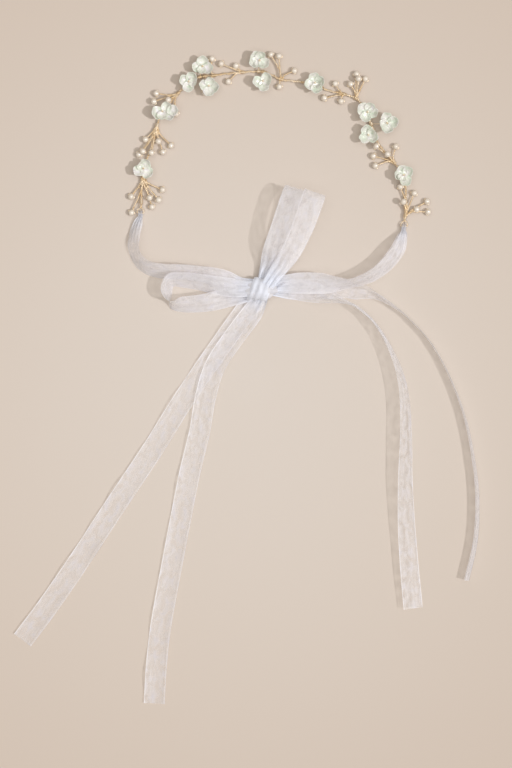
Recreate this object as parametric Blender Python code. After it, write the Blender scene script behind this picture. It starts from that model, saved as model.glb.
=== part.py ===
# Bridal flower crown: a gold wire vine with moulded flowers and pearl sprays, tied with a sheer ribbon.
# It lies flat on a surface at z = 0, with the vine's arch towards +Y and the ribbon tails towards -Y.
# Sizes below are in millimetres; mesh_object() turns them into metres.

import math

import bmesh
import bpy
import numpy as np
from mathutils import Matrix, Vector

# Driving dimensions
vine_width = 164.0           # between the vine's two ends
tail_length = 264.0          # ribbon from the knot to a cut end
ribbon_width = 13.0
ribbon_thickness = 0.6       # one strand with its weave's loft
strap_thickness = 1.0        # both strands of a ribbon, laid together
core_wire_d = 1.4            # two twisted wires
stem_wire_d = 0.7
eyelet_wire_d = 0.8
pearl_d = 4.0
flower_d = 11.4
petal_thickness = 0.7
petal_cup = 2.4              # rise of a petal's rim over the flower's centre
flower_bead_d = 1.8
wrap_length = 2.4
wrap_wall = 0.5
eyelet_inside = 3.4
eyelet_reach = 3.6
knot_size = (18.5, 15.0, 9.4)

# Clearances between neighbours
wrap_clearance = 0.3         # wire wrapped round the core wire
hole_clearance = 0.3         # stem through a flower
bight_clearance = 0.35       # ribbon round the eyelet's bar, which it swings on
knot_clearance = 0.35        # ribbon ends against the knot
bead_clearance = 0.35        # bead over a flower

drawn_width = 164.0          # the vine width that the routes below are drawn for
plan = vine_width / drawn_width
wire_height = core_wire_d / 2 + wrap_clearance + wrap_wall + 0.5
flower_height = wire_height + core_wire_d / 2 + wrap_clearance + wrap_wall + 0.7

# The core wire's route from the ribbon's left end to its right end, with the places where pieces join it
vine_route = [
    ("left_end", -66.6, 104.8),
    ("left_end_wrap", -66.4, 108.4),
    ("spray_01", -65.6, 124.0),
    ("flower_01", -64.9, 128.9),
    ("", -60.6, 141.0),
    ("spray_02", -56.7, 155.3),
    ("flower_02", -53.0, 163.8),
    ("spray_03", -43.9, 175.0),
    ("", -37.5, 181.0),
    ("cluster_a", -30.0, 185.4),
    ("spray_04", -21.5, 186.4),
    ("", -14.6, 187.4),
    ("spray_05", -3.5, 188.4),
    ("cluster_b", 7.9, 188.8),
    ("", 14.6, 186.6),
    ("spray_06", 20.4, 183.9),
    ("", 29.0, 182.8),
    ("flower_08", 41.0, 181.0),
    ("", 48.6, 177.4),
    ("spray_07", 59.0, 174.8),
    ("spray_08", 66.6, 172.2),
    ("", 71.6, 166.0),
    ("cluster_c", 76.0, 156.2),
    ("", 78.0, 148.6),
    ("", 82.0, 142.0),
    ("spray_09", 90.2, 132.4),
    ("flower_12", 96.2, 124.4),
    ("", 97.4, 115.0),
    ("right_end_wrap", 97.2, 105.0),
    ("spray_10", 97.0, 99.4),
    ("right_end", 96.7, 96.6),
]

# Pearls of each spray, from its junction: along X, along Y, height over the surface, and a bend on the stem
sprays = {
    "spray_01": [(-7.1, -12.6, 2.0), (-6.8, -22.6, 2.0), (4.4, -13.4, 2.4), (12.4, -8.5, 2.0),
                 (10.0, -14.7, 3.2), (5.8, -19.0, 2.0)],
    "spray_02": [(-7.1, -8.7, 2.4), (1.0, -9.9, 3.8), (8.7, -12.4, 2.0), (3.6, -16.4, 2.0),
                 (-3.2, -17.2, 5.4), (-11.2, -18.0, 2.0), (-8.6, -16.2, 4.6)],
    "spray_03": [(-13.3, 0.2, 2.0), (-14.6, -5.0, 3.6), (-5.6, -4.2, 5.4), (-0.9, -12.6, 2.0)],
    "spray_04": [(-1.1, 10.2, 2.0), (-5.5, -10.8, 2.0, 0.6, -6.8)],
    "spray_05": [(-4.2, 3.9, 2.2), (-8.9, -5.8, 2.0), (-13.4, 5.2, 2.0)],
    "spray_06": [(-6.5, 15.4, 2.0), (-1.4, 14.2, 3.4), (8.2, 5.4, 2.2), (-1.2, -4.6, 2.0)],
    "spray_07": [(-12.2, -2.4, 2.0), (-5.4, 6.5, 2.0), (-1.8, -4.4, 2.2)],
    "spray_08": [(0.1, 15.1, 2.0), (1.3, 11.9, 4.8), (5.7, 12.1, 2.0), (-3.6, 8.9, 2.6)],
    "spray_09": [(-11.2, 9.8, 4.6), (-12.9, 4.0, 2.0), (-11.6, -2.0, 2.0), (-4.2, 4.8, 5.6), (1.0, 9.9, 2.0)],
    "spray_10": [(-3.0, 18.2, 2.0), (-1.3, 8.6, 5.4), (5.6, 14.2, 2.0), (7.1, 4.2, 2.4), (13.6, 9.0, 2.0),
                 (14.3, 2.6, 2.0)],
}

# Flowers that sit on the core wire, and the groups that crowd round one place on it
single_flowers = {"flower_01": (3, 20), "flower_02": (4, 75), "flower_08": (5, 10), "flower_12": (5, 40)}
clusters = {
    "cluster_a": {"centre": (-29.9, 184.3), "gap": 0.6, "flowers": [
        ("flower_03", 198, 4, 30, -3.2), ("flower_04", 78, 4, 80, 0.0), ("flower_05", 318, 4, 10, 3.2)]},
    "cluster_b": {"centre": (7.7, 188.7), "gap": 0.6, "flowers": [
        ("flower_06", 101, 5, 0, -1.6), ("flower_07", 281, 4, 45, 1.6)]},
    "cluster_c": {"centre": (77.7, 156.2), "gap": 1.8, "flowers": [
        ("flower_09", 123, 5, 15, -3.2), ("flower_10", 3, 5, 50, 0.0), ("flower_11", 243, 4, 60, 3.2)]},
}
cluster_tilt = 10.0          # degrees that a grouped flower leans outwards

# Ribbon stations: x, y and z of the middle, then the bearing and rise of the line across the ribbon in
# degrees (None lies square to the route), and the share of the full width where the ribbon is gathered
knot_centre = (9.6, 54.9, 4.8)
left_strap_route = [
    (-68.3, 95.2, 2.6, 5, 25, 0.40), (-70.2, 88.2, 4.4, 5, 50, 0.75), (-71.0, 80.3, 6.1, 5, 60, 1.0),
    (-68.6, 72.9, 6.2, 35, 60, 1.0), (-62.4, 67.3, 5.9, 62, 56, 1.0), (-53.0, 65.0, 5.6, 84, 50, 1.0),
    (-39.4, 64.4, 5.5, 90, 48, 1.0), (-27.0, 62.8, 5.3, 90, 45, 1.0), (-14.6, 59.8, 5.7, 88, 12, 0.92),
    (-5.3, 56.4, 4.4, 88, 2, 0.85), (5.0, 55.5, 4.3, 88, 0, 0.8),
]
right_strap_route = [
    (95.3, 86.8, 3.0, 172, 28, 0.45), (92.1, 78.2, 5.2, 157, 45, 0.9), (85.9, 70.0, 5.7, 137, 50, 1.0),
    (78.2, 63.4, 7.0, 120, 56, 1.0), (69.6, 59.2, 7.6, 106, 62, 1.0), (61.0, 57.0, 7.8, 96, 64, 1.0),
    (52.4, 56.8, 8.9, 90, 38, 1.0), (43.6, 57.4, 8.1, 88, 13, 1.0), (31.9, 57.6, 6.2, 88, 0, 1.0),
    (22.0, 57.0, 4.7, 88, 0, 0.85), (12.0, 56.0, 4.3, 88, 0, 0.8),
]
left_loop_route = [
    (5.0, 53.0, 2.4, 90, 0, 0.8), (-3.4, 50.6, 2.2, 90, 0, 0.82), (-12.7, 48.4, 2.3, 90, 3, 0.9),
    (-27.0, 45.4, 4.8, 90, 34, 1.0), (-39.4, 44.6, 5.6, 93, 46, 1.0), (-47.4, 46.4, 7.0, 112, 70, 1.0),
    (-50.2, 53.2, 6.6, 180, 62, 1.0), (-47.4, 58.8, 6.4, 130, 54, 1.0), (-40.6, 59.6, 5.9, 95, 46, 1.0),
    (-30.1, 58.4, 5.8, 90, 42, 1.0), (-17.7, 56.0, 6.3, 90, 24, 0.95), (-6.5, 54.6, 6.2, 90, 4, 0.85),
    (4.0, 54.5, 6.2, 90, 0, 0.8),
]
upper_loop_route = [
    (10.0, 56.0, 3.2, -17, 0, 0.4), (12.8, 67.0, 3.0, -17, 0, 0.6), (15.0, 77.0, 3.4, -17, 0, 0.76),
    (19.8, 91.0, 4.0, -17, 0, 0.92), (24.4, 105.0, 5.4, -17, 0, 0.96), (27.4, 113.6, 8.8, -17, 0, 0.96),
    (28.4, 116.0, 13.0, -17, 0, 0.96), (27.2, 113.0, 17.4, -17, 0, 0.96), (24.8, 106.0, 19.6, -17, 0, 0.96),
    (20.2, 92.0, 18.6, -17, 0, 0.9), (15.2, 77.5, 12.4, -17, 0, 0.7), (12.4, 67.0, 5.4, -17, 0, 0.46),
    (10.0, 56.0, 4.8, -17, 0, 0.4),
]
side_loop_route = [
    (11.0, 56.0, 6.6, -25, 0, 0.4), (19.6, 67.0, 7.4, -25, 0, 0.46), (26.8, 77.0, 7.0, -25, 0, 0.66),
    (34.4, 92.0, 5.4, -25, 0, 0.94), (39.4, 103.0, 6.2, -25, 0, 0.98), (42.4, 110.0, 9.6, -25, 0, 0.98),
    (43.4, 112.0, 13.6, -25, 0, 0.98), (42.2, 109.4, 17.6, -25, 0, 0.98), (39.6, 103.6, 19.6, -25, 0, 0.98),
    (34.8, 92.0, 18.8, -25, 0, 0.92), (27.0, 77.0, 14.6, -25, 0, 0.72), (19.4, 67.0, 9.6, -25, 0, 0.5),
    (11.0, 56.0, 8.0, -25, 0, 0.4),
]
flat = ribbon_thickness / 2
tail_routes = {
    "tail_1": [
        (8.0, 52.0, flat, -34, 0, 0.8), (-1.1, 41.9, flat, -34, 0, 1.0), (-35.8, -7.7, flat, -34, 0, 1.0),
        (-59.4, -45.2, flat, None, 0, 1.0), (-82.3, -79.6, flat, None, 0, 1.0),
        (-105.0, -114.3, flat, None, 0, 1.0), (-124.7, -142.9, flat, None, 0, 1.0),
        (-138.0, -160.6, flat, -36, 0, 1.0),
    ],
    "tail_2": [
        (10.0, 52.0, 1.6, -28, 0, 0.8), (1.4, 38.1, 1.4, -30, 0, 1.0), (-10.2, 22.6, 1.4, -34, 0, 1.0),
        (-20.8, 6.0, 1.4, None, 0, 1.0), (-26.6, -13.0, 1.4, None, 0, 1.0), (-30.0, -33.0, 1.3, None, 0, 1.0),
        (-33.6, -48.0, 0.7, None, 0, 1.0), (-37.7, -66.0, flat, None, 0, 1.0),
        (-47.1, -115.0, flat, None, 0, 1.0), (-54.2, -154.1, flat, None, 0, 1.0),
        (-57.0, -178.9, flat, None, 0, 1.0), (-58.3, -201.0, flat, -2, 0, 1.0),
    ],
    "tail_3": [
        (14.0, 54.0, 2.4, 270, 0, 0.8), (31.9, 53.4, 2.4, 270, 0, 1.0), (44.3, 51.0, 4.2, 268, 25, 1.0),
        (53.6, 48.2, 6.6, 265, 55, 0.95), (61.1, 45.6, 7.0, 255, 78, 0.9), (67.9, 42.2, 6.6, 240, 82, 0.85),
        (77.8, 33.2, 6.0, 228, 82, 0.85), (86.5, 19.2, 5.8, 210, 76, 0.85), (93.3, 2.8, 5.7, 198, 64, 0.9),
        (96.6, -14.6, 5.4, 186, 56, 0.95), (97.3, -39.4, 5.2, 180, 50, 1.0), (96.9, -64.2, 4.7, 180, 42, 1.0),
        (97.6, -89.0, 3.6, 182, 32, 1.0), (99.2, -113.8, 2.9, 184, 24, 1.0), (101.5, -139.0, 2.6, 186, 20, 1.0),
    ],
    "tail_4": [   # creased lengthwise past the strap, so half as wide, in two layers
        (14.0, 54.0, flat, 270, 0, 0.8), (31.9, 54.0, flat, 270, 0, 1.0), (58.6, 54.4, flat, 270, 0, 0.85),
        (66.7, 53.0, 1.4, 268, 10, 0.8), (74.0, 51.6, 2.8, 262, 30, 0.7), (81.5, 48.6, 3.6, 250, 52, 0.55),
        (90.2, 43.1, 3.6, 238, 60, 0.5), (99.5, 35.6, 3.5, 230, 62, 0.5), (113.2, 20.2, 3.5, 214, 62, 0.5),
        (125.6, -2.8, 3.5, 203, 62, 0.5), (134.9, -29.5, 3.4, 196, 61, 0.5), (140.6, -62.0, 3.4, 187, 60, 0.5),
        (141.6, -84.6, 3.3, 180, 58, 0.5), (140.0, -104.0, 3.2, 172, 56, 0.5), (135.4, -124.0, 3.1, 165, 54, 0.5),
    ],
}
tail_trim = {"tail_1": -2.0, "tail_2": 4.0, "tail_3": -13.0, "tail_4": 0.0}   # cut shorter or longer than tail_length

colours = {
    "gold wire": ((0.78, 0.62, 0.38, 1), 0.3, 1.0),
    "pearl": ((0.90, 0.86, 0.78, 1), 0.2, 0.0),
    "shell petal": ((0.86, 0.90, 0.85, 1), 0.25, 0.0),
    "organza": ((0.90, 0.88, 0.92, 1), 0.55, 0.0),
}


def clear_scene():
    for old in list(bpy.data.objects):
        bpy.data.objects.remove(old)


def material(name):
    made = bpy.data.materials.get(name)
    if made is None:
        colour, roughness, metallic = colours[name]
        made = bpy.data.materials.new(name)
        made.use_nodes = True
        shader = made.node_tree.nodes["Principled BSDF"]
        shader.inputs["Base Color"].default_value = colour
        shader.inputs["Roughness"].default_value = roughness
        shader.inputs["Metallic"].default_value = metallic
    return made


def mesh_object(name, bm, material_name, location=(0, 0, 0), smooth_angle=40):
    """Finish a mesh drawn in millimetres, and place it."""
    bmesh.ops.scale(bm, vec=(0.001, 0.001, 0.001), verts=bm.verts)
    bmesh.ops.recalc_face_normals(bm, faces=bm.faces)
    mesh = bpy.data.meshes.new(name)
    bm.to_mesh(mesh)
    bm.free()
    mesh.shade_smooth()
    mesh.set_sharp_from_angle(angle=math.radians(smooth_angle))
    mesh.materials.append(material(material_name))
    made = bpy.data.objects.new(name, mesh)
    made.location = [c * 0.001 for c in location]
    bpy.context.scene.collection.objects.link(made)
    return made


def boolean(target, operation, others):
    """Join the other objects to the target, or cut them from it, and remove them."""
    for other in others:
        step = target.modifiers.new(operation.lower(), "BOOLEAN")
        step.operation = operation
        step.solver = "EXACT"
        step.object = other
    bpy.context.view_layer.update()
    graph = bpy.context.evaluated_depsgraph_get()
    result = bpy.data.meshes.new_from_object(target.evaluated_get(graph))
    target.modifiers.clear()
    target.data = result
    for other in others:
        bpy.data.objects.remove(other)


def smooth_route(points, step):
    """Points at even steps along a smooth curve through rows of numbers, whose first three are a place."""
    rows = np.array(points, float)
    rows = np.vstack([2 * rows[0] - rows[1], rows, 2 * rows[-1] - rows[-2]])
    fine = []
    for a, b, c, d in zip(rows, rows[1:], rows[2:], rows[3:]):
        for t in np.arange(0, 1, 0.04):
            fine.append(0.5 * (2 * b + (c - a) * t + (2 * a - 5 * b + 4 * c - d) * t**2
                               + (3 * b - a - 3 * c + d) * t**3))
    fine.append(rows[-2])
    return even_steps(np.array(fine), step)


def route_lengths(rows):
    return np.concatenate([[0], np.cumsum(np.linalg.norm(np.diff(rows[:, :3], axis=0), axis=1))])


def even_steps(rows, step, length=None):
    """The same route with even spacing, cut at a length or carried on straight to reach it."""
    along = route_lengths(rows)
    if length is not None and length > along[-1]:
        onward = (rows[-1] - rows[-2]) / (along[-1] - along[-2]) * (length - along[-1])
        onward[3:] = 0
        rows = np.vstack([rows, rows[-1] + onward])
        along = route_lengths(rows)
    total = along[-1] if length is None else length
    places = np.linspace(0, total, max(2, int(round(total / step)) + 1))
    return np.column_stack([np.interp(places, along, rows[:, k]) for k in range(rows.shape[1])])


def unit(vector):
    return vector / np.linalg.norm(vector)


def headings(rows):
    return np.array([unit(v) for v in np.gradient(rows[:, :3], axis=0)])


def skin(sections, closed):
    """A solid skin over rings of points: capped at both ends, or closed on itself."""
    bm = bmesh.new()
    rings = [[bm.verts.new(Vector(p)) for p in section] for section in sections]
    count = len(rings[0])
    pairs = list(zip(rings, rings[1:]))
    if closed:
        pairs.append((rings[-1], rings[0]))
    for near, far in pairs:
        for k in range(count):
            bm.faces.new((near[k], near[(k + 1) % count], far[(k + 1) % count], far[k]))
    if not closed:
        bm.faces.new(rings[0])
        bm.faces.new(rings[-1])
    return bm


def round_section(centre, heading, across, radius, sides):
    """A ring of points square to the heading, the first one towards across."""
    side = unit(across - heading * (across @ heading))
    up = np.cross(heading, side)
    turns = [2 * math.pi * k / sides for k in range(sides)]
    return [centre + radius * (math.cos(a) * side + math.sin(a) * up) for a in turns]


def tube(rows, radius, sides=6, closed=False):
    """A round wire that follows the route. Its sections keep one side up."""
    ahead = headings(rows)
    if closed:
        ahead = np.array([unit(b - a) for a, b in zip(np.roll(rows, 1, 0), np.roll(rows, -1, 0))])
    reference = np.array((0.0, 0.0, 1.0)) if abs(ahead[0][2]) < 0.9 else np.array((1.0, 0.0, 0.0))
    return skin([round_section(p, h, reference, radius, sides) for p, h in zip(rows, ahead)], closed)


def wrap(heading, length, inside, outside, sides=8):
    """A short sleeve of wound wire about the origin, along the heading."""
    up = np.array((0.0, 0.0, 1.0))
    side = np.cross(up, heading)
    sections = []
    for k in range(sides):
        a = 2 * math.pi * (k + 0.5) / sides
        out = math.cos(a) * side + math.sin(a) * up
        corners = ((inside, -1), (outside, -1), (outside, 1), (inside, 1))
        sections.append([out * r + heading * length / 2 * s for r, s in corners])
    return skin(sections, True)


def across_vector(route, k):
    x, y, z, bearing, rise, share = route[k]
    if bearing is None:
        before, after = route[max(k - 1, 0)], route[min(k + 1, len(route) - 1)]
        bearing = math.degrees(math.atan2(after[1] - before[1], after[0] - before[0])) + 90
    turn, lift = math.radians(bearing), math.radians(rise)
    return (math.cos(lift) * math.cos(turn), math.cos(lift) * math.sin(turn), math.sin(lift))


def ribbon(name, route, thickness, step, length=None, lead=None):
    """A ribbon laid along its stations. A lead is a first few rows that are given whole."""
    rows = [(x * plan, y * plan, z, *across_vector(route, k), share * ribbon_width)
            for k, (x, y, z, bearing, rise, share) in enumerate(route)]
    rows = smooth_route((lead or []) + rows, step)
    if length is not None:
        rows = even_steps(rows, step, length)
    sections = []
    for row, ahead in zip(rows, headings(rows)):
        across = unit(row[3:6] - ahead * (row[3:6] @ ahead))
        normal = np.cross(across, ahead)
        corners = ((-1, -1), (1, -1), (1, 1), (-1, 1))
        section = np.array([row[:3] + across * row[6] / 2 * s + normal * thickness / 2 * t for s, t in corners])
        section[:, 2] += max(0, -section[:, 2].min())     # nowhere below the surface it lies on
        sections.append(section)
    return mesh_object(name, skin(sections, False), "organza")


def trim_to_knot(piece):
    """Cut the ribbon back to a small gap round the knot."""
    cutter = knot_ball("knot cutter", knot_clearance)
    boolean(piece, "DIFFERENCE", [cutter])


def knot_ball(name, grown):
    """The knot as a squared-off ball."""
    bm = bmesh.new()
    bmesh.ops.create_uvsphere(bm, u_segments=16, v_segments=10, radius=1)
    for vert in bm.verts:
        vert.co = [math.copysign(abs(c) ** 0.6, c) for c in vert.co]
        vert.co.length = min(vert.co.length, 1.25)
    bmesh.ops.scale(bm, vec=[s / 2 + grown for s in knot_size], verts=bm.verts)
    place = (knot_centre[0] * plan, knot_centre[1] * plan, knot_centre[2])
    bmesh.ops.translate(bm, vec=place, verts=bm.verts)
    return mesh_object(name, bm, "organza")


def vine_samples():
    rows = [(x * plan, y * plan, wire_height) for label, x, y in vine_route]
    return smooth_route(rows, 0.5)


def vine_places(samples):
    """Distance along the vine of each named place on it."""
    along = route_lengths(samples)
    places = {}
    for label, x, y in vine_route:
        if label:
            gaps = np.linalg.norm(samples[:, :2] - np.array((x * plan, y * plan)), axis=1)
            places[label] = along[gaps.argmin()]
    return places


def on_vine(samples, distance):
    """Point and heading of the core wire at a distance along it."""
    along = route_lengths(samples)
    ends = [np.array([np.interp(d, along, samples[:, k]) for k in range(3)])
            for d in (distance - 0.6, distance, distance + 0.6)]
    return ends[1], unit(ends[2] - ends[0])


def eyelet_bar(samples, at_end):
    """Middle of the bar that the ribbon swings on, out past one end of the core wire."""
    tip, outward = (samples[-1], samples[-1] - samples[-3]) if at_end else (samples[0], samples[0] - samples[2])
    return tip + unit(outward) * eyelet_reach, unit(outward)


def eyelet(tip_to_bar, bar, axis):
    """A closed wire loop with a straight bar along the axis."""
    half = (eyelet_inside + eyelet_wire_d) / 2
    outline = [(-half, 0), (0, 0), (half, 0), (half, 1.1), (0.8 * half, 2.1), (0.35 * half, eyelet_reach - 0.3),
               (-0.35 * half, eyelet_reach - 0.3), (-0.8 * half, 2.1), (-half, 1.1)]
    rows = np.array([bar + axis * v - tip_to_bar * u for v, u in outline])
    return tube(rows, eyelet_wire_d / 2, sides=6, closed=True)


def make_core_wire(samples, axis):
    rows = even_steps(samples, 4.0)
    core = mesh_object("core_wire", tube(rows, core_wire_d / 2, sides=6), "gold wire")
    ends = []
    for at_end in (False, True):
        bar, outward = eyelet_bar(samples, at_end)
        ends.append(mesh_object("eyelet", eyelet(outward, bar, axis), "gold wire"))
    boolean(core, "UNION", ends)


def make_wrap(name, samples, distance):
    point, heading = on_vine(samples, distance)
    inside = core_wire_d / 2 + wrap_clearance
    return mesh_object(name, wrap(heading, wrap_length, inside, inside + wrap_wall), "gold wire", point)


def stem_start(place, heading, target):
    """Where a stem leaves the wrap, on the side that faces its target."""
    out = target - place
    out = unit(out - heading * (out @ heading))
    return place + out * (core_wire_d / 2 + wrap_clearance + wrap_wall / 2)


def make_spray(name, samples, distance, pearls):
    place, heading = on_vine(samples, distance)
    spray = make_wrap("pearl_" + name, samples, distance)
    parts = []
    for x, y, height, *bend in pearls:
        pearl = np.array((place[0] + x, place[1] + y, height))
        if height < pearl_d / 2 + 0.05:
            pearl[2] = pearl_d / 2
        points = [pearl]
        if bend:
            points.insert(0, np.array((place[0] + bend[0], place[1] + bend[1], wire_height)))
        points.insert(0, stem_start(place, heading, points[0]))
        parts.append(mesh_object("stem", tube(np.array(points), stem_wire_d / 2, sides=5), "gold wire"))
        bm = bmesh.new()
        bmesh.ops.create_icosphere(bm, subdivisions=2, radius=pearl_d / 2)
        parts.append(mesh_object("pearl", bm, "pearl", pearl))
    boolean(spray, "UNION", parts)
    spray.data.materials.clear()
    spray.data.materials.append(material("pearl"))


def petal_whorl(petals):
    """Cupped petals in one ring about a centre hole, which stands on the flower's own axis."""
    steps = petals * 4
    hole = stem_wire_d / 2 + hole_clearance
    radius = flower_d / 2
    profiles = []
    for k in range(steps):
        a = 2 * math.pi * k / steps
        reach = radius * (0.66 + 0.34 * abs(math.cos(petals * a / 2)) ** 0.7)
        rings = [(hole, 0.0), (0.55 * reach, 0.12 * petal_cup), (reach, petal_cup * (reach / radius) ** 2)]
        under = [(r, z) for r, z in rings]
        over = [(r - (0.25 if r == reach else 0), z + petal_thickness) for r, z in reversed(rings)]
        direction = np.array((math.cos(a), math.sin(a), 0.0))
        profiles.append([direction * r + np.array((0, 0, z)) for r, z in under + over])
    return skin(profiles, True)


def make_flower(name, petals, spin, place, tilt_towards, tilt):
    """Set one flower at its place, leaning by the tilt towards a bearing. Returns the flower's axis."""
    flower = mesh_object(name, petal_whorl(petals), "shell petal", place)
    lean_axis = Vector((-math.sin(math.radians(tilt_towards)), math.cos(math.radians(tilt_towards)), 0))
    turn = Matrix.Rotation(math.radians(tilt), 3, lean_axis) @ Matrix.Rotation(math.radians(spin), 3, "Z")
    flower.rotation_euler = turn.to_euler()
    return np.array(turn @ Vector((0, 0, 1)))


def make_flower_wire(name, samples, distance, place, axis):
    """The wire wrapped round the core that comes up through the flower and ends in a bead."""
    point, heading = on_vine(samples, distance)
    wire = make_wrap(name, samples, distance)
    bead = place + axis * (petal_thickness + bead_clearance + flower_bead_d / 2)
    below = place - axis * 0.9
    if np.linalg.norm(below[:2] - point[:2]) < 1.5:
        start = point + np.array((0, 0, core_wire_d / 2 + wrap_clearance + wrap_wall / 2))
        points = [start, bead]
    else:
        points = [stem_start(point, heading, below), below - axis * 0.2, bead]
    stem = mesh_object("stem", tube(np.array(points), stem_wire_d / 2, sides=5), "gold wire")
    bm = bmesh.new()
    bmesh.ops.create_icosphere(bm, subdivisions=1, radius=flower_bead_d / 2)
    boolean(wire, "UNION", [stem, mesh_object("bead", bm, "gold wire", bead)])


def make_flowers(samples, places):
    for name, (petals, spin) in single_flowers.items():
        point, heading = on_vine(samples, places[name])
        place = np.array((point[0], point[1], flower_height))
        axis = make_flower(name, petals, spin, place, 0, 0)
        make_flower_wire(name.replace("flower", "flower_wire"), samples, places[name], place, axis)
    for label, group in clusters.items():
        count = len(group["flowers"])
        spread = (flower_d + group["gap"]) / 2 / math.sin(math.pi / count)
        for name, bearing, petals, spin, shift in group["flowers"]:
            turn = math.radians(bearing)
            place = np.array((group["centre"][0] * plan + spread * math.cos(turn),
                              group["centre"][1] * plan + spread * math.sin(turn), flower_height))
            axis = make_flower(name, petals, spin, place, bearing, cluster_tilt)
            wire_name = name.replace("flower", "flower_wire")
            make_flower_wire(wire_name, samples, places[label] + shift, place, axis)


def make_strap(name, bar, outward, axis, route):
    """Ribbon from its bight round the eyelet's bar to the knot."""
    inside = eyelet_wire_d / 2 + bight_clearance
    bight_width = eyelet_inside - 2 * bight_clearance
    lead = [(*(bar + outward * d), *axis, bight_width) for d in (inside + 0.25, inside + 2.6)]
    strap = ribbon(name, route, strap_thickness, 5.0, lead=lead)
    ring = mesh_object("bight", wrap(axis, bight_width, inside, inside + 0.6, sides=10), "organza", bar)
    boolean(strap, "UNION", [ring])
    trim_to_knot(strap)
    return strap


def make_ribbon(samples, bars, axis):
    pieces = [
        make_strap("left_strap", *bars[0], axis, left_strap_route),
        make_strap("right_strap", *bars[1], -axis, right_strap_route),
        knot_ball("bow_knot", 0.0),
    ]
    loops = {"left_loop": left_loop_route, "upper_loop": upper_loop_route, "side_loop": side_loop_route}
    for name, route in loops.items():
        pieces.append(ribbon(name, route, ribbon_thickness, 4.0))
        trim_to_knot(pieces[-1])
    for name, route in tail_routes.items():
        thickness = strap_thickness if name == "tail_4" else ribbon_thickness
        pieces.append(ribbon(name, route, thickness, 7.0, length=tail_length + tail_trim[name]))
        trim_to_knot(pieces[-1])
    return pieces


def main():
    clear_scene()
    samples = vine_samples()
    places = vine_places(samples)
    bars = [eyelet_bar(samples, at_end) for at_end in (False, True)]
    axis = unit(bars[1][0] - bars[0][0])

    make_core_wire(samples, axis)
    for name in ("left_end_wrap", "right_end_wrap"):
        make_wrap(name, samples, places[name])
    for name, pearls in sprays.items():
        make_spray(name, samples, places[name], pearls)
    make_flowers(samples, places)

    pivot = bpy.data.objects.new("ribbon_pivot", None)
    pivot.location = [c * 0.001 for c in (bars[0][0] + bars[1][0]) / 2]
    bpy.context.scene.collection.objects.link(pivot)
    bpy.context.view_layer.update()
    for piece in make_ribbon(samples, bars, axis):
        piece.parent = pivot
        piece.matrix_parent_inverse = pivot.matrix_world.inverted()


main()
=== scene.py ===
# Bridal hair vine of twisted gold wire, shell flowers and pearl sprays, tied with sheer organza ribbon
import math
import random

import bmesh
import bpy
import numpy as np
from mathutils import Matrix, Vector, noise


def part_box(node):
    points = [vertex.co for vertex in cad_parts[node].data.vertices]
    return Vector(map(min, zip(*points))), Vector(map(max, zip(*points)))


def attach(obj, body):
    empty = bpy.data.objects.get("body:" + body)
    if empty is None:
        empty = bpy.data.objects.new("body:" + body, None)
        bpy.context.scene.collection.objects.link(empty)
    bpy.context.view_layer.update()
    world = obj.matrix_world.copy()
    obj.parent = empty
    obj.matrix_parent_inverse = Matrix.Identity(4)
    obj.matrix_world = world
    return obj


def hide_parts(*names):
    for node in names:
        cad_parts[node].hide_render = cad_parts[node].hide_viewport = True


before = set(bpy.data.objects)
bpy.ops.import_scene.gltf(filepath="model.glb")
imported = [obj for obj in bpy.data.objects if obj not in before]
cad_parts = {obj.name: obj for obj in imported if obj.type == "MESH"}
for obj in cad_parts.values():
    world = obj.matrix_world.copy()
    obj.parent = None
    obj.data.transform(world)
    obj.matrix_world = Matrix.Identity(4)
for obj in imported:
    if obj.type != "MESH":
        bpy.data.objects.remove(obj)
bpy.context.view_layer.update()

scene = bpy.context.scene
mm = 0.001
up = np.array((0.0, 0.0, 1.0))


# small helpers

def hexColour(code):
    values = [int(code[k:k + 2], 16) / 255 for k in (0, 2, 4)]
    return tuple(c / 12.92 if c <= 0.04045 else ((c + 0.055) / 1.055) ** 2.4 for c in values) + (1.0,)


def addNode(tree, kind, settings=None, inputs=None):
    # an input is a value, or another node's output to link
    node = tree.nodes.new(kind)
    for key, value in (settings or {}).items():
        setattr(node, key, value)
    for key, value in (inputs or {}).items():
        if isinstance(value, bpy.types.NodeSocket):
            tree.links.new(value, node.inputs[key])
        else:
            node.inputs[key].default_value = value
    return node


def rampStops(node, stops):
    ramp = node.color_ramp
    while len(ramp.elements) < len(stops):
        ramp.elements.new(0.5)
    for element, (place, colour) in zip(ramp.elements, stops):
        element.position = place
        element.color = colour
    return node.outputs["Color"]


def newSurface(name):
    made = bpy.data.materials.new(name)
    made.use_nodes = True
    tree = made.node_tree
    return made, tree, tree.nodes["Principled BSDF"]


def finishPiece(name, bm, surface, body, nodes=()):
    for vert in bm.verts:
        vert.co = vert.co * mm
    mesh = bpy.data.meshes.new(name)
    bm.to_mesh(mesh)
    bm.free()
    mesh.shade_smooth()
    mesh.materials.append(surface)
    piece = bpy.data.objects.new(name, mesh)
    scene.collection.objects.link(piece)
    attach(piece, body)
    if nodes:
        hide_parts(*nodes)
    return piece


def unit(v):
    return v / np.linalg.norm(v)


def routeLengths(rows):
    return np.concatenate([[0], np.cumsum(np.linalg.norm(np.diff(rows[:, :3], axis=0), axis=1))])


def evenSteps(rows, step, length=None):
    along = routeLengths(rows)
    if length is not None and length > along[-1]:
        onward = (rows[-1] - rows[-2]) / (along[-1] - along[-2]) * (length - along[-1])
        onward[3:] = 0
        rows = np.vstack([rows, rows[-1] + onward])
        along = routeLengths(rows)
    total = along[-1] if length is None else length
    places = np.linspace(0, total, max(2, int(round(total / step)) + 1))
    return np.column_stack([np.interp(places, along, rows[:, k]) for k in range(rows.shape[1])])


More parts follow.
